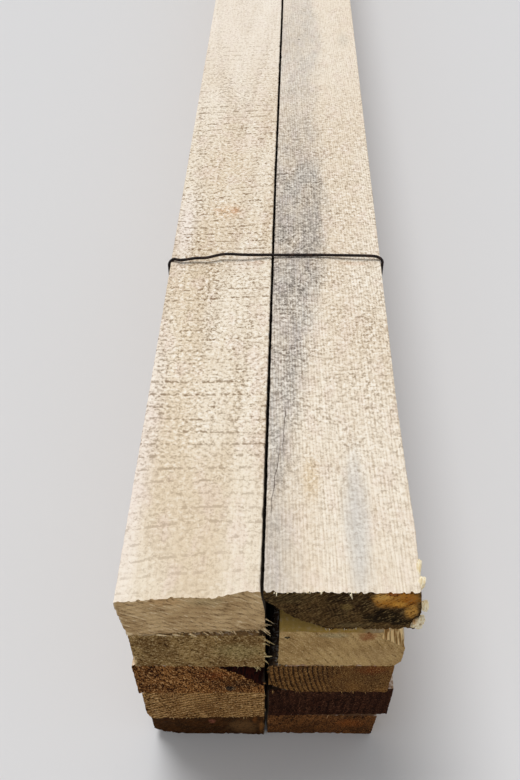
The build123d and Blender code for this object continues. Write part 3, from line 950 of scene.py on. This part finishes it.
# The ends are darker towards the lower rows: partly the wood's own colour, partly painted shade.
lowerPlanks = [
    {
        "node": "plank_left_2", "slot": "weathered_pine", "seed": 3, "fibre": (214, 196, 146),
        "face": {
            "pale": (222, 204, 172), "warm": (206, 184, 146), "ringAmount": 0.3,
            "torn": [(0, 0.1), (0.02, 0.8), (1, 1)],
            "spots": [
                # painted shade: on the top at the near end, under the plank above, and on the inner side in
                # the gap
                ((-14, 1, -25), (30, 5, 2), 0.3, 0.95, (124, 96, 58)),
                ((-0.6, 6, -37), (1.5, 14, 16), 0.4, 0.85, (70, 52, 32)),
            ],
        },
        "end": {
            "light": (160, 130, 82), "deep": (124, 94, 54), "tip": (214, 188, 138), "scoreTurn": -70,
            "scoreAmount": 0.2, "ringAmount": 0.1, "gapAmount": 0.85, "tipAmount": 0.7,
            "speck": (0.75, 2, 0.75),
            "spots": [
                ((-10, 3, -37), (13, 30, 9), 0.8, 0.6, (156, 140, 92)),
                ((-40, 3, -36), (9, 30, 10), 0.8, 0.6, (110, 82, 46)),
                # the pale left arris of the end: painted light
                ((-48.5, 3, -45), (1.3, 30, 5), 0.6, 0.8, (236, 206, 156)),
            ],
        },
        "frays": [
            fray("bottom", 14, span=(0.55, 0.98), scale=0.7),
            fray("right", 6, scale=0.8, weight=2.0, spread=0.6),
            fray("top", 12, span=(0.4, 0.98), weight=1.3),
        ] + farFrays,
        "shreds": [
            ((-1.0, 1.6, -27.0), (1, -0.5, -0.5), 4.4, 1.4, 0.3),
            ((-1.2, 1.6, -31.0), (1, -0.3, 0.3), 3.0, 1.2, 0.3),
            ((-1.0, 1.6, -41.0), (1, -0.3, 0.2), 3.4, 1.3, 0.2),
            ((-1.2, 1.6, -44.0), (1, -0.3, -0.4), 2.8, 1.2, 0.3),
        ],
    },
    {
        "node": "plank_left_3", "slot": "brown_pine", "seed": 4, "fibre": (196, 152, 100),
        "chip": {"across": 19.5, "down": 18.5, "run": 36, "bulge": 0.1},
        "strays": [("left", [(0, -0.5), (1, -0.5)], [(0, 1), (60, 1), (140, 0)])],
        "face": {
            "pale": (214, 184, 148), "warm": (200, 164, 124), "blushAmount": 0.2, "ringAmount": 0.4,
            # the near-black of the chip's torn recess, under the plank above, is painted shade
            "missing": (58, 20, 12), "missingDeep": (26, 8, 6),
        },
        "end": {
            "light": (158, 106, 56), "deep": (116, 72, 34), "tip": (222, 178, 122), "gap": (58, 32, 16),
            "gapAmount": 0.95, "gapLevel": 0.505, "gapRamp": 0.07, "tipAmount": 0.9, "scoreAmount": 0.1,
            "speck": (0.55, 2, 1.0), "ringAmount": 0.05,
            "spots": [
                ((-13.8, 3, -70.6), (2.8, 30, 3.4), 0.6, 0.9, (38, 38, 36)),
                ((-20, 3, -59), (10, 30, 5), 0.8, 0.5, (132, 64, 28)),
                # the dark spot below the chip is painted shade
                ((-7, 3, -66), (9, 30, 4), 0.5, 0.7, (60, 28, 14)),
            ],
        },
        "frays": [
            fray("bottom", 16), fray("right", 6, scale=0.4), fray("top", 8, span=(0.02, 0.55)),
        ] + farFrays,
    },
    {
        "node": "plank_left_4", "slot": "tan_pine", "seed": 5, "fibre": (222, 190, 138),
        "face": {
            "pale": (220, 196, 162), "warm": (204, 174, 134), "ringAmount": 0.35, "pith": (30, -235),
            "ringPitch": 2.1, "ringWaver": 0.5,
        },
        "end": {
            "light": (190, 146, 90), "deep": (152, 110, 62), "tip": (232, 196, 140),
            "gap": (70, 42, 20), "gapAmount": 0.95, "gapLevel": 0.515, "gapRamp": 0.07,
            "tipAmount": 0.95, "scoreTurn": 68, "scoreAmount": 0.25, "scoreSize": (0.5, 4, 3.0),
            "ring": (92, 62, 34), "ringAmount": 0.6, "speck": (0.7, 2, 0.5),
        },
        "frays": [fray("bottom", 46, scale=0.4, weight=0.9), fray("right", 5, scale=0.4)] + farFrays,
    },
    {
        "node": "plank_left_5", "slot": "dark_pine", "seed": 6,
        "strays": [("right", [(0, 0.65), (1, 0.65)], closedInside)], "fibre": (206, 160, 96),
        "face": {
            "pale": (176, 140, 104), "warm": (150, 112, 78), "blushAmount": 0.2, "fleckShade": (96, 70, 50),
            "ringAmount": 0.4, "missing": (92, 44, 26), "missingDeep": (58, 32, 16),
        },
        "end": {
            "light": (66, 37, 14), "deep": (48, 26, 9), "gap": (70, 48, 26), "gapAmount": 0.75,
            "tip": (120, 82, 46), "tipAmount": 0.5, "scoreTurn": 86, "ringAmount": 0.08,
            "scoreAmount": 0.4,
            "spots": [
                ((-9, 4, -115), (9, 30, 11), 0.8, 0.7, (122, 90, 56)),
                ((-22.9, 4, -110.0), (2.0, 30, 2.8), 0.7, 0.8, (146, 88, 68)),
                ((-4.4, 4, -107), (1.6, 30, 6), 0.9, 0.5, (142, 88, 42)),
                ((-1.8, 4, -115), (1.2, 30, 10), 0.9, 0.5, (170, 114, 58)),
            ],
        },
        "frays": [fray("right", 12, scale=0.6), fray("top", 8)] + farBottomFrays,
    },
    {
        "node": "plank_right_2", "slot": "weathered_pine", "seed": 7,
        "strays": [("left", [(0, -3.4), (1, -3.4)], [(0, 0), (28, 0), (60, 1), (1187, 1), (1196, 0)])],
        "fibre": (224, 198, 144),
        "face": {
            "pale": (222, 204, 168), "warm": (204, 180, 136), "ringAmount": 0.35,
            "torn": [(0, 0.15), (0.06, 0.3), (0.12, 0.8), (1, 1)], "missing": (246, 216, 160),
            "missingDeep": (150, 114, 66),
            "spots": [
                ((14, 6, -25), (26, 40, 5), 0.5, 0.85, (208, 168, 72)),
                # painted shade on the inner side, deep in the gap between the stacks
                ((2.4, 12, -40), (4.0, 46, 17), 0.25, 1.0, (26, 19, 12)),
            ],
        },
        "end": {
            "light": (194, 161, 108), "deep": (172, 139, 90), "tip": (224, 198, 148), "scoreTurn": -40,
            "scoreAmount": 0.35, "gapAmount": 0.6, "ringAmount": 0.1, "gapRamp": 0.14,
            "spots": [
                ((7.3, 4, -29.2), (1.3, 30, 1.1), 0.5, 1.0, (24, 17, 12)),
                ((36, 4, -27.5), (4.5, 30, 5), 0.8, 0.75, (140, 78, 44)),
                ((24, 4, -27.4), (8, 30, 2.8), 0.8, 0.5, (146, 142, 112)),
                ((41, 4, -42), (12, 30, 9), 0.9, 0.5, (180, 148, 102)),
            ],
        },
        "frays": [fray("bottom", 40, scale=0.4), fray("left", 6, scale=0.6)] + farFrays,
    },
    {
        "node": "plank_right_3", "slot": "brown_pine", "seed": 8, "fibre": (196, 156, 100),
        "face": {
            "pale": (224, 188, 162), "warm": (206, 164, 134), "blushAmount": 0.3, "ringAmount": 0.35,
            "pith": (95, -50), "ringPitch": 1.8, "ringWaver": 0.35, "missing": (96, 64, 34),
            # its spot is painted shade on the top by the seam, in the gap beside the plank above
            "missingDeep": (50, 32, 18), "spots": [((3, 20, -50), (6, 50, 3), 0.4, 0.9, (40, 27, 16))],
        },
        "end": {
            "light": (132, 92, 48), "deep": (104, 70, 36), "tip": (190, 150, 96), "gap": (54, 32, 16),
            "gapAmount": 0.8, "gapLevel": 0.515, "gapRamp": 0.09, "tipAmount": 0.7, "scoreAmount": 0.15,
            "scoreTurn": 12, "ring": (38, 21, 10), "ringAmount": 0.85, "ringZone": (18, 32),
            "speck": (0.45, 2, 0.75),
            "spots": [
                ((38, 4, -63), (17, 30, 15), 0.9, 0.5, (84, 58, 32)),
                ((40, 4, -54), (9, 30, 6), 0.8, 0.5, (130, 62, 26)),
            ],
        },
        "frays": [
            fray("bottom", 30, scale=0.4), fray("left", 10, scale=0.35), fray("top", 8),
        ] + farFrays,
    },
    {
        "node": "plank_right_4", "slot": "dark_pine", "seed": 9,
        "strays": [("left", [(0, -1.5), (1, -1.5)], closedInside)], "fibre": (150, 108, 78),
        "face": {
            "pale": (150, 118, 96), "warm": (122, 92, 72), "blushAmount": 0.2, "fleckShade": (76, 54, 42),
            "ringAmount": 0.4, "torn": [(0, 0.1), (0.03, 0.8), (1, 1)],
            # painted shade on the top at the near end, under the plank above
            "spots": [((9, 4, -75), (20, 18, 4), 0.4, 0.95, (44, 28, 19))],
        },
        "end": {
            "light": (58, 31, 19), "deep": (43, 21, 12), "gap": (56, 34, 24), "gapAmount": 0.8,
            "tip": (132, 90, 66), "tipAmount": 0.5, "scoreAmount": 0.15, "ringAmount": 0.1,
            "ring": (36, 20, 14), "scoreTurn": 50, "speck": (0.6, 2, 0.6),
        },
        "frays": [
            fray("bottom", 10, scale=0.6), fray("top", 4), fray("left", 4, scale=0.35),
        ] + farFrays,
        "shreds": [((11.7, 4.6, -92.0), (0.05, -0.4, -1), 3.6, 0.6, 0.05)],
    },
    {
        "node": "plank_right_5", "slot": "brown_pine", "seed": 10,
        "strays": [("left", [(0, -0.8), (1, -0.8)], closedInside)], "fibre": (200, 156, 112),
        "face": {
            "pale": (214, 186, 158), "warm": (194, 158, 122), "blushAmount": 0.2, "ringAmount": 0.35,
            "torn": [(0, 0.1), (0.02, 0.8), (1, 1)],
            # painted shade on the top at the near end, under the plank above
            "spots": [((22, 4, -100), (34, 9, 3), 0.4, 0.9, (104, 68, 42))],
        },
        "end": {
            "light": (118, 74, 38), "deep": (90, 54, 27), "tip": (172, 122, 74), "gap": (62, 38, 20),
            "gapAmount": 0.9, "gapLevel": 0.51, "tipAmount": 0.6, "scoreAmount": 0.1, "ringAmount": 0.1,
            "spots": [((36, 4, -110), (9, 30, 8), 0.8, 0.6, (156, 88, 38))],
        },
        "frays": [fray("top", 8, scale=0.6), fray("left", 4, scale=0.35)] + farBottomFrays,
    },
]

for own in [topLeft, topRight] + lowerPlanks:
    plank = dict(anyPlank, **own)
    plank["name"] = "sawn_" + own["node"]
    plank["face"] = dict(faceLook, **own["face"])
    plank["end"] = dict(endLook, **own["end"])
    sawnPlank(plank)


tieWire = {
    "radius": 0.7,
    "skew": 2.0,
    "rays": 1440,
    "sharpest": 5.0,  # a turn of more degrees, or a longer run, keeps a point of the route
    "longest": 5.0,
    "besidePlank": 0.9,
    "rootHeight": 68.0,
    "rootClear": 3.2,
    "strandOffset": 0.66,
    "twistTurns": 3.5,
    "pointsInTurn": 16,
    # its way over the top: across from the seam, along from the tie's own line, and up from the face
    "over": [(-46.0, -1.2, 1.2), (-42.6, -1.05, 1.5), (-38.0, -0.3, 1.9), (-33.5, -0.9, 2.2),
             (-29.8, 0.2, 2.5), (-26.0, 1.45, 2.7), (-22.0, 1.5, 2.8), (-15.6, 1.15, 2.5), (-9.5, 1.9, 1.9),
             (-2.0, 2.8, 1.2), (9.0, 2.95, 0.9), (18.7, 3.15, 0.9), (27.5, 2.3, 1.3), (38.3, 1.45, 1.7),
             (45.4, 1.1, 1.8), (48.2, 0.8, 1.55), (50.0, 0.4, 0.75)],
    "black": (34, 28, 28),
    "scale": (62, 48, 42),
}


def wireFinish():
    wire = Nodes("black_annealed_wire", 20)
    patchy = wire.between(wire.grain((2.2, 2.2, 2.2), detail=4), 0.5, 0.66)
    tone = wire.mix(patchy, tieWire["black"], tieWire["scale"])
    wire.shader.inputs["Metallic"].default_value = 0.35
    wire.finish(tone, wire.grain((0.5, 0.5, 0.5), detail=3), 0.05 * mm, 0.5)
    wire.feed(wire.shader.inputs["Roughness"], wire.between(patchy, 0, 1, 0.42, 0.68))
    return wire.material


# The middle line of the taut loop, from rays that leave the middle of the pack in the tie's plane
def tieLoop(node, middle, skew):
    cad = readCad(node)
    start = math.atan2(tieWire["rootHeight"] - middle.z, -tieReach)
    line = []
    for i in range(1, tieWire["rays"]):
        turn = start - 2 * math.pi * i / tieWire["rays"]
        way = Vector((math.cos(turn) * math.cos(skew), math.cos(turn) * math.sin(skew), math.sin(turn)))
        spot, normal = cad.ray_cast(middle, way)[:2]
        if spot is not None:
            line.append(spot - normal * tieWire["radius"])
    kept = [line[0]]
    for before, point, after in zip(line, line[1:], line[2:]):
        bend = math.degrees((point - kept[-1]).angle(after - point, 0))
        if bend > tieWire["sharpest"] or (point - kept[-1]).length > tieWire["longest"]:
            kept.append(point)
    kept.append(line[-1])
    kept = [p for p in kept if p.x > seamX / mm or abs(p.z - tieWire["rootHeight"]) > tieWire["rootClear"]]
    over = [middle + Vector((x, x * math.tan(skew) + along, topLevel / mm - middle.z + up))
            for x, along, up in tieWire["over"]]
    raised = [i for i, p in enumerate(kept) if p.z > topLevel / mm and over[0].x < p.x < over[-1].x]
    kept[raised[0]:raised[-1] + 1] = over
    return kept


# The two strands, wound round the line from the root of the twist to its tip in the CAD node
def twistStrands(node, root):
    spots = [v.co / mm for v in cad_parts[node].data.vertices]
    furthest = max(spot.y for spot in spots)
    last = [spot for spot in spots if spot.y > furthest - 1]
    tip = sum(last, Vector()) / len(last)
    axis = (tip - root).normalized()
    beside = (Vector((1, 0, 0)) - axis * axis.x).normalized()
    upright = axis.cross(beside)
    count = round(tieWire["twistTurns"] * tieWire["pointsInTurn"])
    strands = []
    for half in (0, math.pi):
        strand = []
        for i in range(1, count + 1):
            turn = half + 2 * math.pi * i / tieWire["pointsInTurn"]
            around = beside * math.cos(turn) + upright * math.sin(turn)
            strand.append(root + (tip - root) * i / count + around * tieWire["strandOffset"])
        strands.append(strand)
    return strands


def tieRound(node, name, y, skew):
    middle = Vector((seamX / mm, y / mm, topLevel / mm / 2))
    skew = math.radians(skew)
    loop = tieLoop(node, middle, skew)
    outer = tieReach + tieWire["strandOffset"]
    rootX, rootY = middle.x - outer * math.cos(skew), middle.y - outer * math.sin(skew)
    root = Vector((rootX, rootY, tieWire["rootHeight"]))
    inner, outside = twistStrands(node, root)
    route = inner[::-1] + loop + outside
    data = bpy.data.curves.new(name, "CURVE")
    data.dimensions = "3D"
    data.bevel_depth = tieWire["radius"] * mm
    data.bevel_resolution = 2
    data.use_fill_caps = True
    data.resolution_u = 3
    spline = data.splines.new("NURBS")
    spline.points.add(len(route) - 1)
    for point, spot in zip(spline.points, route):
        point.co = (*(spot * mm), 1)
    spline.order_u = 3
    spline.use_endpoint_u = True
    bent = addToScene(name + "_route", data)
    mesh = bpy.data.meshes.new_from_object(bent.evaluated_get(bpy.context.evaluated_depsgraph_get()))
    bpy.data.objects.remove(bent)
    mesh.name = name
    for face in mesh.polygons:
        face.use_smooth = True
    wire = addToScene(name, mesh)
    wire.data.materials.clear()
    wire.data.materials.append(tieWire["finish"])
    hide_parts(node)
    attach(wire, "root")
    length = sum((a - b).length for a, b in zip(route, route[1:]))
    print(name, len(mesh.polygons), "faces,", round(length), "mm of wire")


leftFaces = [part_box("plank_left_" + str(row))[0].x for row in range(1, 6)]
tieReach = (seamX - min(leftFaces)) / mm + tieWire["besidePlank"]
tieWire["finish"] = wireFinish()
tieRound("tie_wire_near", "black_wire_near", nearEnd + tieInset, tieWire["skew"])
tieRound("tie_wire_far", "black_wire_far", nearEnd + packLength - tieInset, -tieWire["skew"])


studio = {
    "floorColour": (0.70, 0.70, 0.71, 1),
    "floorReach": 60,
    "sunFrom": (-0.2, 0.33, 0.92),
    "sunStrength": 1.8,
    "sunSpread": 26,
    "skyStrength": 0.47,
    "backdrop": (0.70, 0.69, 0.68, 1),
}


def layFloor():
    bm = bmesh.new()
    bmesh.ops.create_grid(bm, x_segments=1, y_segments=1, size=studio["floorReach"])
    floor = meshObject("floor", bm)
    paper = Nodes("pale_floor")
    paper.shader.inputs["Base Color"].default_value = studio["floorColour"]
    paper.shader.inputs["Roughness"].default_value = 0.9
    paper.shader.inputs["Specular IOR Level"].default_value = 0.1
    floor.data.materials.append(paper.material)


def lightUp():
    data = bpy.data.lights.new("softSun", "SUN")
    data.energy = studio["sunStrength"]
    data.angle = math.radians(studio["sunSpread"])
    sun = addToScene("softSun", data)
    sun.rotation_euler = Vector(studio["sunFrom"]).to_track_quat("Z", "Y").to_euler()
    world = bpy.data.worlds.new("paleRoom")
    bpy.context.scene.world = world
    world.use_nodes = True
    tree = world.node_tree
    sky = tree.nodes["Background"]
    sky.inputs["Color"].default_value = (1, 1, 1, 1)
    sky.inputs["Strength"].default_value = studio["skyStrength"]
    # what the camera and reflections see above the floor is as pale as the floor
    seen = tree.nodes.new("ShaderNodeBackground")
    seen.inputs["Color"].default_value = studio["backdrop"]
    path = tree.nodes.new("ShaderNodeLightPath")
    direct = path.outputs["Is Camera Ray"]
    for ray in ("Is Glossy Ray", "Is Transmission Ray"):
        either = tree.nodes.new("ShaderNodeMath")
        either.operation = "MAXIMUM"
        tree.links.new(direct, either.inputs[0])
        tree.links.new(path.outputs[ray], either.inputs[1])
        direct = either.outputs[0]
    both = tree.nodes.new("ShaderNodeMixShader")
    tree.links.new(direct, both.inputs[0])
    tree.links.new(sky.outputs[0], both.inputs[1])
    tree.links.new(seen.outputs[0], both.inputs[2])
    tree.links.new(both.outputs[0], tree.nodes["World Output"].inputs["Surface"])


cameraPlace = {
    "fromSeam": 1.7 * mm,
    "beforeNearEnd": 129.2 * mm,
    "aboveTop": 239.6 * mm,
    "lookDown": 46.80,
    "turn": 1.73,
    "focalPixels": 808.0,
    "framePixels": 780.0,
    "filmHeight": 36.0,
}


def placeCamera():
    data = bpy.data.cameras.new("photoView")
    data.sensor_fit = "VERTICAL"
    data.sensor_height = cameraPlace["filmHeight"]
    data.lens = data.sensor_height * cameraPlace["focalPixels"] / cameraPlace["framePixels"]
    data.clip_start = 0.01
    camera = addToScene("photoView", data)
    camera.location = (seamX + cameraPlace["fromSeam"], nearEnd - cameraPlace["beforeNearEnd"],
                       topLevel + cameraPlace["aboveTop"])
    tilt, turn = math.radians(90 - cameraPlace["lookDown"]), math.radians(cameraPlace["turn"])
    camera.rotation_euler = (tilt, 0, turn)
    bpy.context.scene.camera = camera


layFloor()
lightUp()
placeCamera()
bpy.context.scene.view_settings.view_transform = "Standard"
print("studio and camera placed")
